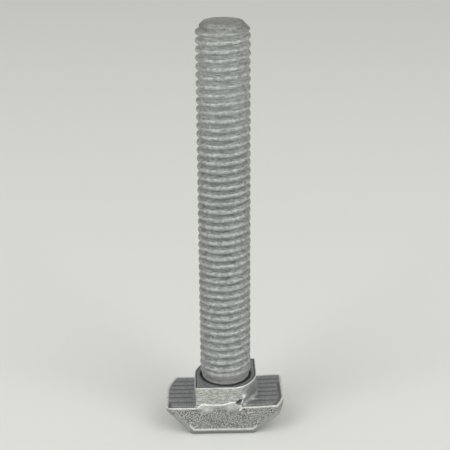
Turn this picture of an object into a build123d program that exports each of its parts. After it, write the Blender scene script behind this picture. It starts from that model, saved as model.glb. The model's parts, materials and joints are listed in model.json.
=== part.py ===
"""T slot bolt, M8 x 60, with a forged hammer head and a turning neck, zinc-plated steel.

The bolt is one piece: head, neck and shank are forged from one blank.
Frame: origin at the middle of the head's underside, +Z up along the bolt's axis, X along the
head's two wings. The bolt stands on its head.
"""
import os
from math import ceil, cos, radians, sin

from build123d import *

# ---------------------------------------------------------------- driving dimensions, mm

# Head: a flat hammer that passes into the slot lengthwise and is then turned across it.
head_length = 18.8            # over both wings, and the circle that the head turns in
head_width = 10.0             # across the flats that slide along the slot
head_height = 4.95            # underside to clamping face
foot_length = 10.0            # flat that the head stands on
wing_end_height = 0.9         # upright end of a wing, under the clamping face
wing_end_radius = 1.6         # upright end into the sloping underside
underside_radius = 0.8        # forged rounding along both long rims of the underside
clamping_rim_radius = 0.25    # worn rim of the clamping face
head_stop_radius = 0.45       # upright edges of the two corners that stop the turn

# Grip ribs across the clamping face, pressed in along the head.
rib_pitch = 1.38
rib_count = 7
rib_groove_width = 0.80
rib_groove_depth = 0.20

# Neck: fills the slot, so that the bolt stops after a quarter turn.
neck_length = 9.8             # along the head, and the circle that the neck turns in
neck_width = 9.2              # across the head
neck_height = 3.35
neck_stop_radius = 0.45
neck_rim_radius = 0.2
neck_foot_flare = 0.35        # slope at the foot of the neck, where it meets a wing

# Shank: M8, with a narrower foot in the neck and a short plain land under the thread.
shank_diameter = 8.0
bolt_length = 59.6            # clamping face to the end of the thread, 60 nominal
shank_foot_diameter = 7.5
shank_foot_height = 0.45      # over the neck
recess_diameter = 8.06        # narrow ring-shaped recess round the foot, in the neck's top
recess_depth = 0.60
land_slope_height = 0.55      # slope from the foot out to the land
land_height = 0.4
tip_diameter = 5.7            # flat end face inside the chamfer
tip_chamfer_height = 1.25

# Thread: coarse, right-hand, rolled a little under the nominal diameter.
thread_diameter = 7.94
thread_pitch = 1.25
thread_depth = 0.70
thread_crest_width = 0.26
thread_start_angle = 327      # degrees round from +X, where a crest rises out of the land
thread_fade_height = 1.7      # over which the groove reaches its full depth
thread_flats = 27             # facets that one turn is drawn with

# ---------------------------------------------------------------- heights worked out from them

neck_top_z = head_height + neck_height
tip_z = head_height + bolt_length
shank_foot_z = neck_top_z + shank_foot_height
land_z = shank_foot_z + land_slope_height
thread_start_z = land_z + land_height
same_place = 1e-6             # points closer than this count as one


def turning_plan(length, width, stop_radius):
    """Plan of a piece that makes a quarter turn clockwise in a slot and then stops.

    Two opposite corners follow the circle that the piece turns in, which is as wide as the
    piece is long. The other two corners are square stops.
    """
    quarter = Rectangle(length / 2, width / 2)
    stops = Pos(-length / 4, -width / 4) * quarter + Pos(length / 4, width / 4) * quarter
    plan = Rectangle(length, width) & (Circle(length / 2) + stops)
    corners = [
        v for v in plan.vertices()
        if abs(abs(v.X) - length / 2) < same_place and abs(abs(v.Y) - width / 2) < same_place
    ]
    return fillet(corners, stop_radius)


def hammer_head():
    """Head: side profile with sloping undersides, trimmed to the turning plan."""
    half_length = head_length / 2
    wing_end_z = head_height - wing_end_height
    outline = Polyline(
        (-foot_length / 2, 0),
        (foot_length / 2, 0),
        (half_length, wing_end_z),
        (half_length, head_height),
        (-half_length, head_height),
        (-half_length, wing_end_z),
        close=True,
    )
    profile = make_face(Plane.XZ * outline)
    wing_corners = [v for v in profile.vertices() if abs(v.Z - wing_end_z) < same_place]
    profile = fillet(wing_corners, wing_end_radius)
    block = extrude(profile, head_width / 2, both=True)

    # Long rims: large forged rounding below, small worn rounding above.
    long_rims = block.faces().filter_by(Axis.Y).edges()
    under_rims = [e for e in long_rims if e.bounding_box().min.Z < wing_end_z - same_place]
    block = fillet(under_rims, underside_radius)
    clamping_rims = block.edges().group_by(Axis.Z)[-1].filter_by(Axis.X)
    block = fillet(clamping_rims, clamping_rim_radius)

    plan = turning_plan(head_length, head_width, head_stop_radius)
    return block & extrude(plan, head_height)


def rib_grooves():
    """V grooves along the head, which leave the grip ribs standing between them."""
    mouth = rib_groove_width / 2
    vee = Polyline((-mouth, 0), (0, -rib_groove_depth), (mouth, 0), close=True)
    groove = extrude(make_face(Plane.YZ * vee), head_length / 2, both=True)
    spots = GridLocations(0, rib_pitch, 1, rib_count)
    return [Pos(0, 0, head_height) * spot * groove for spot in spots]


def neck():
    """Neck on the clamping face, with a sloping foot where its sides meet the wings."""
    plan = turning_plan(neck_length, neck_width, neck_stop_radius)
    column = Pos(0, 0, head_height / 2) * extrude(plan, neck_top_z - head_height / 2)
    column = chamfer(column.edges().group_by(Axis.Z)[-1], neck_rim_radius)

    foot_plan = offset(plan, neck_foot_flare)
    foot = Pos(0, 0, head_height) * extrude(foot_plan, neck_foot_flare, taper=45)
    between_faces = Box(head_length, neck_width, 2 * neck_top_z)
    return column + (foot & between_faces)


def foot_recess():
    """Ring-shaped recess in the neck's top, round the foot of the shank."""
    ring = Circle(recess_diameter / 2) - Circle(shank_foot_diameter / 2)
    return Pos(0, 0, neck_top_z - recess_depth) * extrude(ring, recess_depth)


def shank_foot():
    """Plain start of the shank: foot, slope and land."""
    outline = Polyline(
        (0, head_height),
        (shank_foot_diameter / 2, head_height),
        (shank_foot_diameter / 2, shank_foot_z),
        (shank_diameter / 2, land_z),
        (shank_diameter / 2, thread_start_z),
        (0, thread_start_z),
        close=True,
    )
    return revolve(make_face(Plane.XZ * outline), Axis.Z)


def on_helix(radius, turns, lift=0.0):
    """Point of the thread at a radius, a number of turns round the axis."""
    angle = radians(360 * turns)
    z = thread_start_z + thread_pitch * (turns - 1 - thread_start_angle / 360) + lift
    return Vector(radius * cos(angle), radius * sin(angle), z)


def on_root(turns):
    """Point at the bottom of the groove, which grows deeper away from the land."""
    lift = (thread_pitch + thread_crest_width) / 2
    climbed = on_helix(0, turns, lift).Z - thread_start_z
    depth = thread_depth * min(max(climbed / thread_fade_height, 0), 1)
    return on_helix(thread_diameter / 2 - depth, turns, lift)


def facets(lower_row, upper_row):
    """Flat triangles between two rows of points."""
    corners = zip(lower_row, lower_row[1:], upper_row[1:], upper_row)
    triangles = [t for a, b, c, d in corners for t in ((a, b, c), (a, c, d))]
    return [Face(Wire.make_polygon(triangle)) for triangle in triangles]


def wound_thread():
    """Crest and both flanks wound round the axis, a turn too long at each end."""
    crest = thread_diameter / 2
    whole_turns = ceil((tip_z - thread_start_z) / thread_pitch) + 3
    last = thread_flats * (whole_turns - 1)
    places = [k / thread_flats for k in range(thread_flats * whole_turns + 1)]
    crest_under = [on_helix(crest, turns) for turns in places]
    crest_over = [on_helix(crest, turns, thread_crest_width) for turns in places[:last + 1]]
    root = [on_root(turns) for turns in places[:last + 1]]

    skin = facets(crest_under[:last + 1], crest_over)
    skin += facets(crest_over, root)
    skin += facets(root, crest_under[thread_flats:])
    for first in (0, last):
        middle = on_helix(0, places[first])
        around = crest_under[first:first + thread_flats + 1]
        skin += [Face(Wire.make_polygon((middle, a, b))) for a, b in zip(around, around[1:])]
        section = (middle, around[0], crest_over[first], root[first], around[-1])
        skin.append(Face(Wire.make_polygon(section)))
    return Solid(Shell(skin))


def thread():
    """Thread cut square at its start and chamfered at its end."""
    slope = tip_chamfer_height / (thread_diameter - tip_diameter)
    clear_diameter = thread_diameter + 2 * thread_depth
    outline = Polyline(
        (0, thread_start_z),
        (clear_diameter / 2, thread_start_z),
        (clear_diameter / 2, tip_z - slope * (clear_diameter - tip_diameter)),
        (tip_diameter / 2, tip_z),
        (0, tip_z),
        close=True,
    )
    return wound_thread() & revolve(make_face(Plane.XZ * outline), Axis.Z)


def main():
    head = hammer_head() - rib_grooves()
    bolt = head + (neck() - foot_recess()) + shank_foot() + thread()
    bolt.label = "t_slot_bolt"
    os.makedirs("parts", exist_ok=True)
    export_step(bolt, "parts/t_slot_bolt.step", write_pcurves=False)


main()
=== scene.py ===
"""Zinc-plated T slot bolt, M8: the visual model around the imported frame.

The forged head and the rolled thread are modelled in millimetres, ribbed and worn by moving
their vertices, joined into one closed mesh and brought to metres. In the head's functions, rise
is the height over the clamping face.
"""
import json
import math

import bmesh
import bpy
from mathutils import Matrix, Vector, noise


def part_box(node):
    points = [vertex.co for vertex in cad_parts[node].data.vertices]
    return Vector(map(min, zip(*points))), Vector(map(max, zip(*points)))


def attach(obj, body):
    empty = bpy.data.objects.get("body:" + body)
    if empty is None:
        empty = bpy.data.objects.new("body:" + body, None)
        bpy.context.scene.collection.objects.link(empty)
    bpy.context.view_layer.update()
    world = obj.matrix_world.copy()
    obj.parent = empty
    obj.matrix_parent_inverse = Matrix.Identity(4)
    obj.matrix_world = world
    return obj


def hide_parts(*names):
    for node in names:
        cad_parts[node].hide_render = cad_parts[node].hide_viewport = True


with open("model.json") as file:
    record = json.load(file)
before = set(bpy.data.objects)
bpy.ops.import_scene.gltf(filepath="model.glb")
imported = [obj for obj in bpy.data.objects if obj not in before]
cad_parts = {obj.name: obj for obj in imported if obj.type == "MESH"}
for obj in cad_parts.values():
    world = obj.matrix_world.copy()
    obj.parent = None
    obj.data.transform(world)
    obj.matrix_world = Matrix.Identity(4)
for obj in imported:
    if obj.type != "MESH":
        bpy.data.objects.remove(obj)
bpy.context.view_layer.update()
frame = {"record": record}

# ------------------------------------------------------------------ sizes, mm, from the frame

MM = 0.001
NODE = "t_slot_bolt"
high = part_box(NODE)[1]
mounts = {mount["name"]: mount for mount in frame["record"]["mounts"]}

head_half_length = high.x / MM
head_half_width = high.y / MM
clamping_z = mounts["clamping_face"]["pos_m"][2] / MM
tip_z = high.z / MM
thread_radius = mounts["shank"]["dims"]["r_mm"]

# ------------------------------------------------------------------ sizes of the visual model, mm

# Head: forged, so its two wings are not quite alike
foot_left, foot_right = -5.45, 4.45       # ends of the flat that the bolt stands on
wing_left, wing_right = -head_half_length, 9.15
slope_top_left, slope_top_right = 4.24, 3.75
shoulder_radius = 1.6                     # sloping underside into the upright end of a wing
shoulder_steps = 4                        # of this radius, from the slope to the upright end
front_inset = 0.09                        # front face, inside the bulges of its upper edge
rim_height, rim_depth = 1.0, 0.55         # rounding of the underside's long rims
rim_flats = ((0.58, 0.14), (0.42, 0.41))  # sideways and downward parts of its two flats
head_stop_radius = 0.45
right_wing_lift = 0.22
lift_start, lift_end = 2.0, 9.0           # along the head

# Grip ribs
groove_places = (3.68, 2.42, 1.16, -0.10, -1.36, -2.84)
groove_reach = 0.6                        # from the bottom of a groove to the top of a ridge
groove_depth = 0.17
gutter_inset = 0.60                       # last groove, along the worn front rim
gutter_reach = 0.38
gutter_share = 1.3                        # of the depth of a groove

# Neck
neck_height = 3.35
neck_top_z = clamping_z + neck_height
neck_half_length = 4.9
neck_half_width = 4.6
neck_stop_radius = 0.45
neck_foot_flare = 0.35
neck_sunk, flare_sunk = 1.0, 0.05         # into the head, so that the blocks join
pocket_radius = 4.03                      # ring-shaped, round the foot of the shank
pocket_depth = 0.6
pocket_draft = 0.05                       # narrower by this at its floor
pocket_segments = 96

# Turning corners of the head and neck, and square corners that stop the turn
turning_segments = 128
stop_corner_turns = (15, 30, 45, 60, 75)  # degrees, flats of a square corner's rounding

# Collar of metal squeezed up between the front of the head and the neck, with two bulges
collar_left, collar_right = -4.4, 2.5
collar_top = 0.42                         # over the clamping face, before it is shaped
collar_sunk = 0.5
collar_in_neck = 0.2
collar_edge = 0.36                        # height of its plain edge
collar_swells = ((-3.5, 0.9, 0.12), (1.1, 1.9, 0.42))    # middle, reach, height
collar_lean = 0.4                         # of its top, towards the neck
bulges = (((-3.0, -0.35), (1.6, 0.8)), ((0.7, -0.1), (1.2, 0.8)))     # middle, reach

# Torn fold at the right end of the neck's front: middles and reaches along and up the front
pit_middle, pit_reach = (1.95, 0.62), (0.8, 0.36)
pit_slant, pit_level_x = 0.25, 1.9        # rises along the front, from this place
pit_depth = 0.55
lip_patch = ((2.95, 1.2), (0.75, 0.75))
lip_foot, lip_foot_reach = (2.35, 0.5), (0.24, 0.75)
lip_slant = 0.42                          # sideways as it rises
lip_height = 0.32
wedge_middle, wedge_reach = (2.45, -0.35), (0.3, 0.55)
wedge_slant = 0.6
smear_middle, smear_reach = (3.8, -0.95), (0.75, 0.13)
tucked_in = 0.38                          # foot of the neck's rounded side, beside the fold
tuck_turn, tuck_spread = -40, 34          # degrees round from +X

# Burrs, worn lips and the ridge at the foot of the neck's rounded side
foot_burr_height, foot_burr_reach = 0.06, 0.18
neck_lip_height, neck_lip_inset, neck_lip_reach = 0.05, 0.08, 0.14
lip_hollow_depth, lip_hollow_inset, lip_hollow_reach = 0.07, 0.32, 0.2
ridge_height, ridge_outset, ridge_reach = 0.09, 0.12, 0.2
ridge_turn, ridge_spread = -25, 26        # degrees round from +X
hollow_depth = 0.12
hollow_place, hollow_reach = (4.95, -2.6), (0.4, 0.35)

# Forged skin
skin_voxel = 0.11
wave_size, wave_height = 1.7, 0.035
grain_size, grain_height = 0.32, 0.010
skin_shrink = 0.02                        # the whole skin is drawn in this much

# Thread, M8 coarse, right-hand
thread_pitch = 1.25
thread_depth = 0.68
crest_round = 0.38                        # radius of the worn crest
crest_angles = (15, 30, 45, 60)           # degrees, round the crest to its flank
root_flat, root_round = 0.05, 0.04
thread_play = 0.03                        # the crests lie this far inside the nominal diameter
crest_radius = thread_radius - thread_play
crest_phase_z = clamping_z + 58.12        # a crest's middle, on the bolt's left side
turns_under_phase = 46
steps_per_turn = 64
fade_start, fade_end = 0.7, 3.2           # over the neck, while the groove gets its full depth
tip_radius = 2.85
tip_chamfer = 1.15
foot_radius = 3.72
foot_slope_start, foot_slope_end = 0.3, 1.3              # over the neck
thread_dent = 0.05                        # handling wear of the crests
end_tilt_degrees = -0.5                   # the sheared end is not quite square

sharp_edge_degrees = 50                   # edges that turn more than this are shaded sharp


# ------------------------------------------------------------------ mesh and shape helpers

def in_scene(name, data):
    """New object in the scene."""
    obj = bpy.data.objects.new(name, data)
    bpy.context.scene.collection.objects.link(obj)
    return obj


def to_object(bm, name):
    """Bmesh as a new object in the scene, with its faces turned outwards."""
    bmesh.ops.recalc_face_normals(bm, faces=bm.faces[:])
    mesh = bpy.data.meshes.new(name)
    bm.to_mesh(mesh)
    bm.free()
    return in_scene(name, mesh)


def used_up(obj):
    """Bmesh of obj with its modifiers applied, in place of the object."""
    depsgraph = bpy.context.evaluated_depsgraph_get()
    mesh = bpy.data.meshes.new_from_object(obj.evaluated_get(depsgraph))
    bpy.data.objects.remove(obj)
    bm = bmesh.new()
    bm.from_mesh(mesh)
    bpy.data.meshes.remove(mesh)
    return bm


def combined(target, operation, others):
    """Target joined with, or cut by, the other objects, which are all used up."""
    for other in others:
        step = target.modifiers.new(operation.lower(), "BOOLEAN")
        step.operation = operation
        step.solver = "MANIFOLD"
        step.object = other
    bm = used_up(target)
    for other in others:
        bpy.data.objects.remove(other)
    return bm


def box(corner_a, corner_b):
    """Closed box between two corners."""
    a, b = Vector(corner_a), Vector(corner_b)
    bm = bmesh.new()
    place = Matrix.Translation((a + b) / 2) @ Matrix.Diagonal((*(b - a), 1))
    bmesh.ops.create_cube(bm, size=1, matrix=place)
    return bm


def drum(radius_low, radius_high, middle_z, height, segments):
    """Closed round block about the bolt's axis."""
    bm = bmesh.new()
    bmesh.ops.create_cone(
        bm, cap_ends=True, segments=segments, radius1=radius_low, radius2=radius_high,
        depth=height, matrix=Matrix.Translation((0, 0, middle_z)),
    )
    return bm


def cut_away(bm, point, outward):
    """Cuts a closed shape with a plane, drops what is outward of it and closes the cut."""
    geometry = bm.verts[:] + bm.edges[:] + bm.faces[:]
    cut = bmesh.ops.bisect_plane(
        bm, geom=geometry, plane_co=point, plane_no=outward, clear_outer=True
    )
    rim = [g for g in cut["geom_cut"] if isinstance(g, bmesh.types.BMEdge)]
    if rim:
        bmesh.ops.edgeloop_fill(bm, edges=rim)


def smooth_between(low_value, high_value, x):
    """0 below low_value, 1 above high_value, with an S curve between."""
    t = min(max((x - low_value) / (high_value - low_value), 0.0), 1.0)
    return t * t * (3 - 2 * t)


def bump_at(x, middle, reach):
    """Smooth bump, 1 high at its middle, that ends its reach away on both sides."""
    return 1 - smooth_between(0, reach, abs(x - middle))


def spot(along, across, middle, reach):
    """Smooth spot on a face, 1 at its middle, that ends its two reaches away."""
    return bump_at(along, middle[0], reach[0]) * bump_at(across, middle[1], reach[1])


# ------------------------------------------------------------------ forged head, from blocks

def turning_blocks(half_length, half_width, z_low, z_high, stop_radius, flare=0.0):
    """A drum on the turning circle, cut to width, and two square quarters that stop the turn."""
    height = z_high - z_low
    middle_z = z_low + height / 2
    turning = drum(half_length + flare, half_length, middle_z, height, turning_segments)
    cut_away(turning, (0, half_width, 0), (0, 1, 0))
    cut_away(turning, (0, -half_width, 0), (0, -1, 0))
    blocks = [turning]
    for side in (-1, 1):
        quarter = box((0, 0, z_low), (side * half_length, side * half_width, z_high))
        for v in quarter.verts:
            if v.co.z < middle_z:
                v.co.x *= (half_length + flare) / half_length
        centre = Vector((side * (half_length - stop_radius), side * (half_width - stop_radius), 0))
        for turn in stop_corner_turns:
            outward = Matrix.Rotation(math.radians(turn), 3, "Z") @ Vector((side, 0, 0))
            cut_away(quarter, centre + outward * stop_radius, outward)
        blocks.append(quarter)
    return blocks


def underside_planes():
    """Point and outward direction of each flat of the underside, foot first."""
    planes = [(Vector((0, 0, 0)), Vector((0, 0, -1)))]
    ends = ((wing_left, foot_left, slope_top_left), (wing_right, foot_right, slope_top_right))
    for end, foot, slope_top in ends:
        side = math.copysign(1, end)
        slope = math.atan2(slope_top, abs(end) - abs(foot))
        centre_x = abs(end) - shoulder_radius
        rise = (centre_x - abs(foot)) * math.sin(slope) + shoulder_radius
        centre = Vector((side * centre_x, 0, rise / math.cos(slope)))
        for step in range(shoulder_steps + 1):
            tilt = slope + (math.pi / 2 - slope) * step / shoulder_steps
            outward = Vector((side * math.sin(tilt), 0, -math.cos(tilt)))
            planes.append((centre + outward * shoulder_radius, outward))
    return planes


underside = underside_planes()


def over_underside(co):
    """How far a point lies inside the nearest flat of the underside."""
    return min((point - co).dot(outward) for point, outward in underside)


def shape_underside(bm):
    """Cuts the slopes, and rounds the long rims under the front and the back."""
    (steep_side, steep_under), (gentle_side, gentle_under) = rim_flats
    for point, under in underside:
        cut_away(bm, point, under)
        for side in (Vector((0, -1, 0)), Vector((0, 1, 0))):
            width = head_half_width - (front_inset if side.y < 0 else 0)
            edge = point + side * width
            steep = side * steep_side + under * steep_under
            gentle = side * gentle_side + under * gentle_under
            cut_away(bm, edge - under * rim_height, steep.normalized())
            cut_away(bm, edge - side * rim_depth, gentle.normalized())


def rough_head():
    """Head, neck and collar joined from plain blocks."""
    head = turning_blocks(head_half_length, head_half_width, 0, clamping_z, head_stop_radius)
    for block in head:
        cut_away(block, (0, front_inset - head_half_width, 0), (0, -1, 0))
        shape_underside(block)
    neck = turning_blocks(
        neck_half_length, neck_half_width, clamping_z - neck_sunk, neck_top_z, neck_stop_radius
    )
    flare = turning_blocks(
        neck_half_length, neck_half_width, clamping_z - flare_sunk, clamping_z + neck_foot_flare,
        neck_stop_radius, flare=neck_foot_flare,
    )
    collar = box(
        (collar_left, front_inset - head_half_width, clamping_z - collar_sunk),
        (collar_right, collar_in_neck - neck_half_width, clamping_z + collar_top),
    )
    blocks = [to_object(bm, "block") for bm in (*head, *neck, *flare, collar)]
    return to_object(combined(blocks[0], "UNION", blocks[1:]), "rough_head")


def grown_together(rough):
    """One even skin over the blocks, with their edges slightly rounded."""
    remesh = rough.modifiers.new("skin", "REMESH")
    remesh.mode = "VOXEL"
    remesh.voxel_size = skin_voxel
    bm = used_up(rough)
    bmesh.ops.smooth_vert(
        bm, verts=bm.verts[:], factor=0.5, use_axis_x=True, use_axis_y=True, use_axis_z=True
    )
    bm.normal_update()
    return bm


# ------------------------------------------------------------------ forged head, its shaping

def inset_from_outline(x, y):
    """How far a point of the clamping face lies inside the outline of the head."""
    inset = min(head_half_width - abs(y), (wing_right if x > 0 else -wing_left) - abs(x))
    if x * y < 0:
        inset = min(inset, head_half_length - math.hypot(x, y))
    return inset


def outside_neck(co):
    """How far a point lies outside the plan of the neck, below zero inside it."""
    outside = max(abs(co.x) - neck_half_length, abs(co.y) - neck_half_width)
    if co.x * co.y < 0:
        outside = max(outside, co.xy.length - neck_half_length)
    return outside


def along_front_rim(x, y):
    """1 where the last groove follows the front rim, which it does round the right corner."""
    return smooth_between(3.0, 2.0, y) if x > 6 else smooth_between(-3.0, -3.6, y)


def rib_dip(x, y):
    """Depth of the clamping face under its ridges."""
    inset = inset_from_outline(x, y)
    dip = max(bump_at(y, place, groove_reach) for place in groove_places)
    dip *= smooth_between(0.2, 0.5, inset)
    gutter = gutter_share * along_front_rim(x, y) * bump_at(inset, gutter_inset, gutter_reach)
    return max(dip, gutter) * groove_depth


def press_ribs(bm):
    """Presses the grooves of the grip ribs into the clamping face, outside the neck."""
    for v in bm.verts:
        if abs(v.co.z - clamping_z) < 0.3 and v.normal.z > 0.5:
            v.co.z -= rib_dip(v.co.x, v.co.y) * smooth_between(0.05, 0.35, outside_neck(v.co))


def ridge_neck_foot(bm):
    """Light ridge along the foot of the rounded side, and a hollow beside it."""
    for v in bm.verts:
        x, y, z = v.co
        if abs(z - clamping_z) < 0.45 and x > 2.5 and y < 0.5:
            turn = math.degrees(math.atan2(y, x))
            ridge = bump_at(outside_neck(v.co), ridge_outset, ridge_reach)
            ridge *= bump_at(turn, ridge_turn, ridge_spread)
            hollow = spot(x, y, hollow_place, hollow_reach)
            v.co.z += ridge_height * ridge - hollow_depth * hollow


def tuck_under_corner(bm):
    """Draws the foot of the rounded side in beside the front, as the punch left it."""
    for v in bm.verts:
        x, y, z = v.co
        if x > 2 and y < 0.5 and clamping_z - 0.4 < z < neck_top_z:
            turn = math.degrees(math.atan2(y, x))
            radius = v.co.xy.length
            tuck = tucked_in * bump_at(turn, tuck_turn, tuck_spread)
            tuck *= smooth_between(neck_top_z - 0.5, clamping_z, z)
            tuck *= smooth_between(3.4, 4.0, radius) * smooth_between(6.4, 5.0, radius)
            v.co.x *= 1 - tuck / radius
            v.co.y *= 1 - tuck / radius


def collar_height(x):
    """Height of the squeezed-up edge over the clamping face, along the front."""
    height = collar_edge
    for middle, reach, swell in collar_swells:
        height += swell * bump_at(x, middle, reach)
    height *= smooth_between(collar_left - 0.1, collar_left + 0.6, x)
    height *= smooth_between(collar_right + 0.1, collar_right - 0.8, x)
    inside = smooth_between(collar_left - 0.2, collar_left, x)
    inside *= smooth_between(collar_right + 0.2, collar_right, x)
    return collar_top + (max(height, 0.04) - collar_top) * inside


def swelling(x, rise):
    """The two bulges of the squeezed metal under its edge, 0 to 1."""
    return max(spot(x, rise, middle, reach) for middle, reach in bulges)


def shape_collar(bm):
    """Gives the squeezed-up edge its uneven height, a thin top and two bulges under it."""
    still = 1.8                           # no vertex this far over the clamping face moves
    face = neck_half_width + 0.12         # in front of the neck
    bulge_depth = 0.8 * front_inset
    for v in bm.verts:
        x, y, z = v.co
        rise = z - clamping_z
        if y > 0.1 - neck_half_width or rise > still:
            continue
        height = collar_height(x)
        if rise > collar_top:
            rise = height + (rise - collar_top) * (still - height) / (still - collar_top)
        elif rise > 0:
            rise *= height / collar_top
        v.co.z = clamping_z + rise
        if y < -face and collar_left < x < collar_right:
            v.co.y += (-face - y) * collar_lean * smooth_between(-0.35, height, rise)
        v.co.y -= bulge_depth * swelling(x, rise) * smooth_between(face, face + 0.15, -y)


def torn_pit(x, rise):
    """Pit that the torn fold leaves at the right end of the neck's front, painted dark as shade, 0
    to 1.
    """
    middle_x, middle_rise = pit_middle
    slanted = middle_rise + pit_slant * (x - pit_level_x)
    return spot(x, rise, (middle_x, slanted), pit_reach)


def torn_lip(x, rise):
    """Smeared metal beside the pit, painted bright as a highlight, wide above and narrow at its
    foot.
    """
    foot_x, foot_rise = lip_foot
    foot = spot(x, rise, (foot_x + lip_slant * rise, foot_rise), lip_foot_reach)
    return max(spot(x, rise, *lip_patch), foot)


def front_flash(x, rise):
    """Two smeared spots of metal on the head's front, under its upper edge."""
    wedge_x, wedge_rise = wedge_middle
    wedge = spot(x, rise, (wedge_x + wedge_slant * rise, wedge_rise), wedge_reach)
    smear = bump_at(x, smear_middle[0], smear_reach[0]) ** 0.5
    return max(wedge, smear * bump_at(rise, smear_middle[1], smear_reach[1]))


def tear_corner(bm):
    """Small torn fold where the neck's face, its rounded side and the head's rim meet."""
    for v in bm.verts:
        x, y, z = v.co
        rise = z - clamping_z
        if y < -2.5 and rise > -0.05 and 0.5 < x < 4.5:
            v.co.y += pit_depth * torn_pit(x, rise) - lip_height * torn_lip(x, rise)
        if y < -4.7:
            v.co.y -= 0.7 * front_inset * front_flash(x, rise)


def raise_burrs(bm):
    """Thin worn lips: over the rounding of the underside, and round the top of the neck."""
    for v in bm.verts:
        if abs(v.normal.y) > 0.75 and v.co.z < clamping_z - 1:
            burr = bump_at(over_underside(v.co), rim_height + 0.03, foot_burr_reach)
            v.co.y += math.copysign(foot_burr_height * burr, v.co.y)
        if v.co.z > neck_top_z - 0.05 and v.normal.z > 0.3:
            inside = -outside_neck(v.co)
            lip = neck_lip_height * bump_at(inside, neck_lip_inset, neck_lip_reach)
            hollow = lip_hollow_depth * bump_at(inside, lip_hollow_inset, lip_hollow_reach)
            v.co.z += lip - hollow


def lift_at(x):
    """How much higher the clamping face lies at x than it does on the left."""
    return right_wing_lift * smooth_between(lift_start, lift_end, x)


def lift_right_wing(bm):
    """Lifts the right wing's top, and what lies under it by less, with the foot left flat."""
    for v in bm.verts:
        v.co.z += lift_at(v.co.x) * min(v.co.z / clamping_z, 1)


def roughen(bm):
    """Uneven forged skin: broad waves and a fine grain, with the foot kept flat."""
    for v in bm.verts:
        waves = noise.noise(v.co / wave_size) * wave_height
        grain = noise.noise(v.co / grain_size) * grain_height
        v.co += v.normal * (waves + grain - skin_shrink) * smooth_between(-0.05, 0.5, v.co.z)
        v.co.x = max(v.co.x, -head_half_length)
        v.co.y = min(max(v.co.y, -head_half_width), head_half_width)
        v.co.z = max(v.co.z, 0)


def forged_head():
    """Head and neck with their forging marks, and the pocket cut round the shank's place."""
    bm = grown_together(rough_head())
    press_ribs(bm)
    ridge_neck_foot(bm)
    tuck_under_corner(bm)
    shape_collar(bm)
    tear_corner(bm)
    raise_burrs(bm)
    lift_right_wing(bm)
    roughen(bm)
    head = to_object(bm, "forged_head")
    pocket = drum(
        pocket_radius - pocket_draft, pocket_radius, neck_top_z, 2 * pocket_depth, pocket_segments
    )
    return to_object(combined(head, "DIFFERENCE", [to_object(pocket, "pocket")]), "forged_head")


# ------------------------------------------------------------------ rolled thread

def thread_profile():
    """One pitch from root to root as (height, depth): round worn crest, flanks at 30 degrees."""
    arc = [math.radians(degrees) for degrees in crest_angles]
    half = [(0, 0)]
    half += [(crest_round * math.sin(a), crest_round * (1 - math.cos(a))) for a in arc]
    half.append((thread_pitch / 2 - root_flat, thread_depth - root_round))
    half.append((thread_pitch / 2, thread_depth))
    return [(-h, d) for h, d in reversed(half[1:])] + half


def wound_turns():
    """The profile wound up the whole shank, one turn after another."""
    bm = bmesh.new()
    first_z = crest_phase_z - turns_under_phase * thread_pitch
    profile = thread_profile()
    chain = [bm.verts.new((-(crest_radius - depth), 0, first_z + h)) for h, depth in profile]
    edges = [bm.edges.new(pair) for pair in zip(chain, chain[1:])]
    bmesh.ops.spin(
        bm, geom=chain + edges, axis=(0, 0, 1), cent=(0, 0, 0), angle=math.tau,
        steps=steps_per_turn, dvec=(0, 0, thread_pitch / steps_per_turn),
    )
    one_turn = bm.verts[:] + bm.edges[:] + bm.faces[:]
    turns = math.ceil((tip_z - first_z) / thread_pitch) + 1
    for turn in range(1, turns):
        copy = bmesh.ops.duplicate(bm, geom=one_turn)["geom"]
        verts = [g for g in copy if isinstance(g, bmesh.types.BMVert)]
        bmesh.ops.translate(bm, verts=verts, vec=(0, 0, turn * thread_pitch))
    bmesh.ops.remove_doubles(bm, verts=bm.verts[:], dist=0.001)
    return bm


def faded_in(z):
    """0 at the plain foot of the shank, 1 where the thread has its full depth."""
    return smooth_between(neck_top_z + fade_start, neck_top_z + fade_end, z)


def shank_outline(z):
    """Radius that the shank stays inside at height z."""
    under_tip = tip_z - z
    if under_tip < tip_chamfer:
        return tip_radius + (crest_radius - tip_radius) * max(under_tip, 0) / tip_chamfer
    sloped = smooth_between(foot_slope_start, foot_slope_end, z - neck_top_z)
    return foot_radius + (crest_radius - foot_radius) * sloped


def rolled_thread():
    """Thread with its plain foot, chamfered end and dented crests, closed at both ends."""
    bm = wound_turns()
    cut_away(bm, (0, 0, tip_z + 1), (0, 0, 1))
    for v in bm.verts:
        radius = v.co.xy.length
        if radius < 0.1:
            continue
        wanted = crest_radius - (crest_radius - radius) * faded_in(v.co.z)
        wanted = min(wanted, shank_outline(v.co.z))
        dents = noise.noise(v.co * 1.1) + 0.6 * noise.noise(v.co * 2.9)
        wanted -= thread_dent * max(dents, 0)
        v.co.x *= wanted / radius
        v.co.y *= wanted / radius
    end_tilt = Matrix.Rotation(math.radians(end_tilt_degrees), 3, "X") @ Vector((0, 0, 1))
    cut_away(bm, (0, -tip_radius, tip_z - 0.01), end_tilt)
    cut_away(bm, (0, 0, neck_top_z - pocket_depth - 0.2), (0, 0, -1))
    return to_object(bm, "rolled_thread")


# ------------------------------------------------------------------ marks on the surface, 0 to 1

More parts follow.
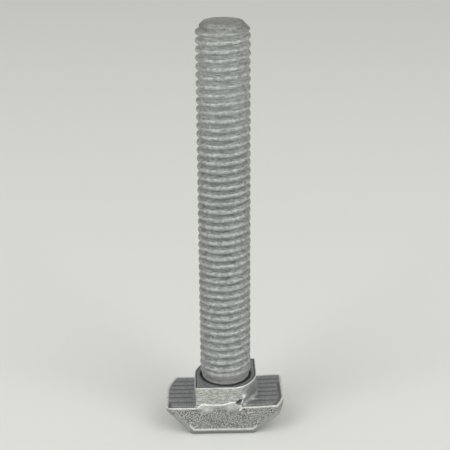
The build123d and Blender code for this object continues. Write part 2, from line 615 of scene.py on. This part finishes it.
mark_names = (
    "wear_and_painted_highlight",            # rubbed bright, with painted highlights on rims, burrs, the collar and the torn lip
    "painted_shade",           # painted shade in grooves, gaps and hollows, and under the rounding
    "pressed_painted_shade",         # faces that the die pressed, clamping face and neck top, painted darker as shade where they face up
    "forged",          # scaly skin of the head
    "scored",          # scraped flats of the neck
    "rolled",          # thread
    "root",            # thread's root and the shank's plain foot, painted lighter against their shade
    "end_root_painted_light",      # painted light: root lighter still near the end of the thread
    "sheared_and_painted_shade",         # sheared end, duller and darker, and painted shade on a band just over the foot of the shank
)
# Strength of the painted shade.
painted_shade_strength = 0.85


def painted_shade_on_pressed_faces(v, rise, outside, inset):
    """Pressed face, painted darker as shade where it faces up, and painted shade in its grooves
    and round the pocket and rim of the neck.
    """
    x, y = v.co.xy
    upward = smooth_between(0.55, 0.85, v.normal.z)
    if rise > 2:
        # Neck top: painted shade where it faces up, darker in the hollow behind its rim and in a
        # ring round the pocket.
        ring = smooth_between(pocket_radius + 0.4, pocket_radius + 0.1, v.co.xy.length)
        return upward, upward * max(bump_at(outside, -0.30, 0.18), 0.6 * ring)
    # Clamping face: painted shade where it faces up, more in its grooves and in the gutter behind
    # the front rim.
    pressed_painted_shade = bump_at(rise, 0, 0.6) * upward * smooth_between(-0.05, 0.1, outside)
    grooves = min(rib_dip(x, y) / groove_depth, 1) ** 3 * 0.75
    gutter = along_front_rim(x, y) * bump_at(inset, gutter_inset, 0.34)
    return pressed_painted_shade, pressed_painted_shade * max(grooves, gutter)


def rim_wear_and_highlight(v, rise, outside, inset):
    """Rim of the clamping face, which the collar hides, and of the neck's top: worn, with a
    painted highlight.
    """
    x, y, z = v.co
    wear_and_painted_highlight = smooth_between(0.42, 0.20, inset) * bump_at(rise, 0.0, 0.36)
    if y < 0:
        wear_and_painted_highlight *= 1 - bump_at(x, (collar_left + collar_right) / 2, 3.9) ** 0.25
    if rise > 1:
        neck_rim = smooth_between(neck_top_z - 0.22, neck_top_z - 0.05, z)
        wear_and_painted_highlight = max(wear_and_painted_highlight, neck_rim * smooth_between(-0.16, -0.06, outside))
    return wear_and_painted_highlight


def front_highlight_and_shade(x, y, rise, outside):
    """Wear with a painted highlight on the torn fold and painted shade in its pit, and wear with a
    painted highlight on the smears under it.
    """
    if y < -2.5 and rise > 0.1 and outside < 0.6:
        return torn_lip(x, rise), min(1.6 * torn_pit(x, rise), 1)
    return (front_flash(x, rise) if y < -4.6 else 0), 0


def rounding_marks(v):
    """Wear with a painted highlight on its burr, painted shade on the strip under it, and share of
    forged skin, on the rounding under the front or the back.
    """
    over = over_underside(v.co)
    along_foot = smooth_between(foot_left - 0.5, foot_left, v.co.x)
    along_foot *= smooth_between(foot_right + 0.5, foot_right, v.co.x)
    wear_and_painted_highlight = bump_at(over, rim_height, 0.26) ** 0.6 * (0.1 + 0.9 * along_foot)
    painted_shade = 0.35 * along_foot * smooth_between(rim_height - 0.1, rim_height - 0.35, over)
    return wear_and_painted_highlight, painted_shade, smooth_between(rim_height - 0.3, rim_height + 0.1, over)


def head_marks(v):
    """Marks at a vertex of the head or neck."""
    x, y, z = v.co
    rise = z - clamping_z - lift_at(x)
    outside = outside_neck(v.co)
    inset = inset_from_outline(x, y)
    bulge = swelling(x, rise)

    # Painted shade on the pressed faces, where they face up and in their hollows.
    pressed_painted_shade, painted_shade = painted_shade_on_pressed_faces(v, rise, outside, inset)
    # Worn rims, with painted highlights.
    wear_and_painted_highlight = rim_wear_and_highlight(v, rise, outside, inset)
    # Painted highlight on the torn fold and the smears, painted shade in the fold's pit.
    front_wear_and_highlight, front_painted_shade = front_highlight_and_shade(x, y, rise, outside)
    wear_and_painted_highlight, painted_shade = max(wear_and_painted_highlight, front_wear_and_highlight), max(painted_shade, front_painted_shade)
    forged = smooth_between(0.1, -0.15, rise) * (1 - pressed_painted_shade) * (1 - 0.7 * bulge)
    forged *= 1 - 0.2 * smooth_between(-0.1, 0.3, noise.noise(v.co / 2.5))
    if abs(v.normal.y) > 0.4 and rise < -1.2:
        wear_and_painted_highlight, painted_shade, skin_share = rounding_marks(v)
        forged *= skin_share
    # Wear with a painted highlight along the top edge of the squeezed-up collar, and a painted
    # highlight on its bulges.
    if y < -neck_half_width - 0.02 and collar_left < x < collar_right:
        wear_and_painted_highlight = max(wear_and_painted_highlight, 0.7 * bump_at(rise, collar_height(x), 0.12), 0.42 * bulge)
    on_neck = smooth_between(0.1, 0.3, rise) * smooth_between(0.7, 0.2, outside)
    return {
        "wear_and_painted_highlight": min(1.4 * wear_and_painted_highlight, 1), "painted_shade": painted_shade_strength * painted_shade, "pressed_painted_shade": pressed_painted_shade,
        "forged": forged, "scored": on_neck * smooth_between(0.5, 0.8, abs(v.normal.y)),
    }


def shank_marks(v):
    """Marks at a vertex of the shank, from its foot to its end."""
    depth = crest_radius - v.co.xy.length
    under_tip = tip_z - v.co.z
    over_neck = v.co.z - neck_top_z
    thread = faded_in(v.co.z)
    on_foot = smooth_between(0.9, 0.5, over_neck)

    # Painted shadow: a dark ring round the foot of the shank, where it goes down into the pocket.
    painted_shade = smooth_between(0.17, 0.07, over_neck)
    # Painted light: the roots and the plain foot lighter than the rolled flanks, against their
    # shade.
    root = smooth_between(0.15, 0.60, depth) * thread * smooth_between(0.6, 1.4, under_tip)
    root = max(root, on_foot)
    # Crests slightly worn bright. The plain foot is painted light against the shade it gets from
    # the pocket.
    wear_and_painted_highlight = max(0.12 * smooth_between(0.16, 0.02, depth) * thread, 0.4 * on_foot)
    sheared_and_painted_shade = smooth_between(tip_chamfer + 0.3, tip_chamfer - 0.2, under_tip)
    sheared_and_painted_shade *= 1 - 0.5 * smooth_between(0.85, 0.97, v.normal.z)
    # Painted shade on a band just over the foot of the shank, where the first turns would shine.
    sheared_and_painted_shade = max(sheared_and_painted_shade, bump_at(over_neck, 1.35, 0.7))
    return {
        "wear_and_painted_highlight": wear_and_painted_highlight * (1 - painted_shade), "painted_shade": painted_shade_strength * painted_shade, "rolled": 1 - sheared_and_painted_shade,
        "root": root, "end_root_painted_light": root * smooth_between(0.6 * tip_z, 0.9 * tip_z, v.co.z),
        "sheared_and_painted_shade": sheared_and_painted_shade,
    }


def mark_surfaces(bm):
    """Writes the marks as attributes that the plating reads."""
    bm.normal_update()
    layers = {name: bm.verts.layers.float.new(name) for name in mark_names}
    shank_start_z = neck_top_z - pocket_depth - 0.1
    for v in bm.verts:
        on_shank = v.co.z > shank_start_z and v.co.xy.length < pocket_radius + 0.02
        marks = shank_marks(v) if on_shank else head_marks(v)
        for name, value in marks.items():
            v[layers[name]] = value


# ------------------------------------------------------------------ materials

def linear(hex_colour):
    """sRGB hex as linear RGBA."""
    channels = [int(hex_colour[i:i + 2], 16) / 255 for i in (1, 3, 5)]
    return [c / 12.92 if c <= 0.04045 else ((c + 0.055) / 1.055) ** 2.4 for c in channels] + [1]


def add_node(tree, kind, inputs=None, **settings):
    """Adds a node; an input is a value or an output socket to link."""
    node = tree.nodes.new(kind)
    for key, value in settings.items():
        setattr(node, key, value)
    for key, value in (inputs or {}).items():
        if isinstance(value, bpy.types.NodeSocket):
            tree.links.new(value, node.inputs[key])
        else:
            node.inputs[key].default_value = value
    return node


def blank_material(name):
    """New material without nodes."""
    material = bpy.data.materials.new(name)
    material.use_nodes = True
    material.node_tree.nodes.clear()
    return material


def zinc_plating():
    """Zinc plating over forged and rolled steel: soft grey sheen with a slight blue tint."""
    material = blank_material("zinc_plated_steel")
    tree = material.node_tree
    place = add_node(tree, "ShaderNodeTexCoord").outputs["Object"]

    # Grain, mm, its detail and how far it is drawn out. Real scale, scoring and crystals are
    # near 0.05 mm, too fine to show, so they are drawn as coarse as they need to show.
    grains = {
        "skin": (0.155, 5.0, (1, 1, 1)),      # forging scale under the plating
        "blotch": (2.5, 4.0, (1, 1, 1)),      # uneven passivation
        "streak": (0.14, 4.0, (6, 6, 1)),     # scoring across the flats and along the turns
        "fine": (0.13, 3.0, (1, 1, 1)),       # plating crystals
        "rubbed": (0.5, 3.0, (1, 1, 1)),      # tone where edges are worn bright, with painted highlights
    }
    askew = (0.5, 0.7, 0.3)                   # this noise fades on planes square to its axes
    patterns = {}
    for name, (size, detail, stretch) in grains.items():
        drawn_out = add_node(tree, "ShaderNodeMapping", {
            "Vector": place, "Rotation": askew, "Scale": [1 / (size * MM * s) for s in stretch],
        })
        patterns[name] = add_node(tree, "ShaderNodeTexNoise", {
            "Vector": drawn_out.outputs[0], "Scale": 1.0, "Detail": detail, "Roughness": 0.6,
        }).outputs["Fac"]
    for name, first, second in (("scraped", "streak", "skin"), ("rolling", "streak", "rubbed")):
        patterns[name] = add_node(
            tree, "ShaderNodeMath", {0: patterns[first], 1: patterns[second]}, operation="ADD"
        ).outputs[0]
    marks = {
        name: add_node(tree, "ShaderNodeAttribute", attribute_name=name).outputs["Fac"]
        for name in mark_names
    }
    marks["everywhere"] = 1.0

    # Mark, its pattern and the pattern's range, darkest and lightest colour; later ones on top
    finishes = (
        ("everywhere", "blotch", 0.35, 0.65, "#a6a9a9", "#babbb8"),
        ("forged", "skin", 0.44, 0.56, "#5f625e", "#cecfca"),
        ("rolled", "rolling", 0.82, 1.18, "#8f9392", "#c3c5c2"),
        ("scored", "scraped", 0.86, 1.14, "#989a96", "#dfe0db"),
        # Pressed faces, painted darker as shade where they face up.
        ("pressed_painted_shade", "skin", 0.40, 0.60, "#828687", "#b0b3b4"),
        # Painted light: thread roots and the plain foot lighter against their shade.
        ("root", "streak", 0.38, 0.62, "#979b9a", "#c4c6c3"),
        # Painted light: roots lighter still near the end of the thread.
        ("end_root_painted_light", "streak", 0.38, 0.62, "#b9bcba", "#dddedb"),
        # Sheared end, duller and darker, with painted shade on a band over the shank's foot.
        ("sheared_and_painted_shade", "rolling", 0.80, 1.20, "#898987", "#ababa7"),
        # Painted shade in grooves, gaps, the torn pit and under the rounding.
        ("painted_shade", "fine", 0.35, 0.65, "#464846", "#525452"),
        # Wear, with painted highlights on rims, burrs, the collar and the torn lip.
        ("wear_and_painted_highlight", "rubbed", 0.35, 0.60, "#dadbd8", "#f5f5f2"),
    )
    colour = linear("#a6a9a9")
    for mark, pattern, from_value, to_value, dark, light in finishes:
        tone = add_node(tree, "ShaderNodeMapRange", {
            "Value": patterns[pattern], "From Min": from_value, "From Max": to_value,
        })
        finish = add_node(tree, "ShaderNodeMix", {
            "Factor": tone.outputs["Result"], "A": linear(dark), "B": linear(light),
        }, data_type="RGBA")
        colour = add_node(tree, "ShaderNodeMix", {
            "Factor": marks[mark], "A": colour, "B": finish.outputs["Result"],
        }, data_type="RGBA").outputs["Result"]

    # Mark, pattern and share of each relief in the bump
    reliefs = (
        ("everywhere", "fine", 0.4), ("forged", "skin", 1.6), ("scored", "streak", 0.8),
        ("rolled", "streak", 0.8), ("rolled", "rubbed", 2.5), ("sheared_and_painted_shade", "streak", 0.4),
    )
    height = 0.0
    for mark, pattern, amount in reliefs:
        relief = add_node(
            tree, "ShaderNodeMath", {0: marks[mark], 1: patterns[pattern]}, operation="MULTIPLY"
        )
        height = add_node(tree, "ShaderNodeMath", {
            0: relief.outputs[0], 1: amount, 2: height,
        }, operation="MULTIPLY_ADD").outputs[0]
    bump = add_node(tree, "ShaderNodeBump", {
        "Height": height, "Strength": 1.0, "Distance": 0.03 * MM,
    })

    # Roughness varies with the crystals, and the shank is duller than the head
    rough = add_node(tree, "ShaderNodeMapRange", {
        "Value": patterns["fine"], "From Min": 0.3, "From Max": 0.7,
        "To Min": 0.44, "To Max": 0.58,
    }).outputs["Result"]
    for mark, duller in (("sheared_and_painted_shade", 0.15), ("rolled", 0.14)):
        rough = add_node(tree, "ShaderNodeMath", {
            0: marks[mark], 1: duller, 2: rough,
        }, operation="MULTIPLY_ADD").outputs[0]
    shader = add_node(tree, "ShaderNodeBsdfPrincipled", {
        "Base Color": colour, "Metallic": 1.0, "Roughness": rough,
        "Normal": bump.outputs["Normal"],
    })
    add_node(tree, "ShaderNodeOutputMaterial", {"Surface": shader.outputs[0]})
    return material


def floor_material():
    """Pale matt card, rough enough that it hardly mirrors the bolt."""
    material = blank_material("pale_floor")
    tree = material.node_tree
    shader = add_node(tree, "ShaderNodeBsdfPrincipled", {
        "Base Color": linear("#e3e1dd"), "Roughness": 0.85,
    })
    add_node(tree, "ShaderNodeOutputMaterial", {"Surface": shader.outputs[0]})
    return material


# ------------------------------------------------------------------ studio, in metres

def soft_box(name, place):
    """Tall soft box that faces the middle of the bolt."""
    light = bpy.data.lights.new(name, "AREA")
    light.shape = "RECTANGLE"
    light.size = 0.36
    light.size_y = 0.75
    light.energy = 2.1
    light.color = linear("#f0f6f6")[:3]
    obj = in_scene(name, light)
    middle = Vector((0, 0, high.z / 2))
    obj.location = place
    obj.rotation_euler = (middle - Vector(place)).to_track_quat("-Z", "Y").to_euler()


def studio():
    """Pale even world, pale floor and two soft boxes in front of the bolt."""
    scene = bpy.context.scene
    scene.view_settings.view_transform = "Standard"
    world = bpy.data.worlds.new("studio")
    scene.world = world
    world.use_nodes = True
    background = world.node_tree.nodes["Background"]
    background.inputs["Color"].default_value = linear("#c1c1bf")
    background.inputs["Strength"].default_value = 1.0

    bm = bmesh.new()
    bmesh.ops.create_grid(bm, x_segments=1, y_segments=1, size=6)
    floor = to_object(bm, "floor")
    floor.data.materials.append(floor_material())

    soft_box("left_box", (-0.40, -0.33, 0.40))
    soft_box("right_box", (0.38, -0.35, 0.40))


def camera():
    """Long lens in front of the bolt and above its end, looking down on its middle."""
    data = bpy.data.cameras.new("camera")
    data.sensor_width = 36
    data.lens = 90
    data.clip_start = 0.01
    data.clip_end = 10
    obj = in_scene("camera", data)
    down, turn, roll = math.radians(22.05), math.radians(1.16), math.radians(-0.44)
    aim = Vector((0.11, 0, clamping_z + 28.73)) * MM
    distance = 169.1 * MM
    obj.matrix_world = (
        Matrix.Rotation(-turn, 4, "Z")
        @ Matrix.Translation(aim)
        @ Matrix.Rotation(math.pi / 2 - down, 4, "X")
        @ Matrix.Rotation(roll, 4, "Z")
        @ Matrix.Translation((0, 0, distance))
    )
    bpy.context.scene.camera = obj


# ------------------------------------------------------------------ assembly

def zinc_plated_bolt():
    """The finished bolt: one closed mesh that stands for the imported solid."""
    bm = combined(forged_head(), "UNION", [rolled_thread()])
    mark_surfaces(bm)
    bmesh.ops.scale(bm, vec=(MM, MM, MM), verts=bm.verts)
    bolt = to_object(bm, "zinc_plated_bolt")
    for face in bolt.data.polygons:
        face.use_smooth = True
    bolt.data.set_sharp_from_angle(angle=math.radians(sharp_edge_degrees))
    bolt.data.materials.append(zinc_plating())
    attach(bolt, "root")
    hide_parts(NODE)


zinc_plated_bolt()
studio()
camera()
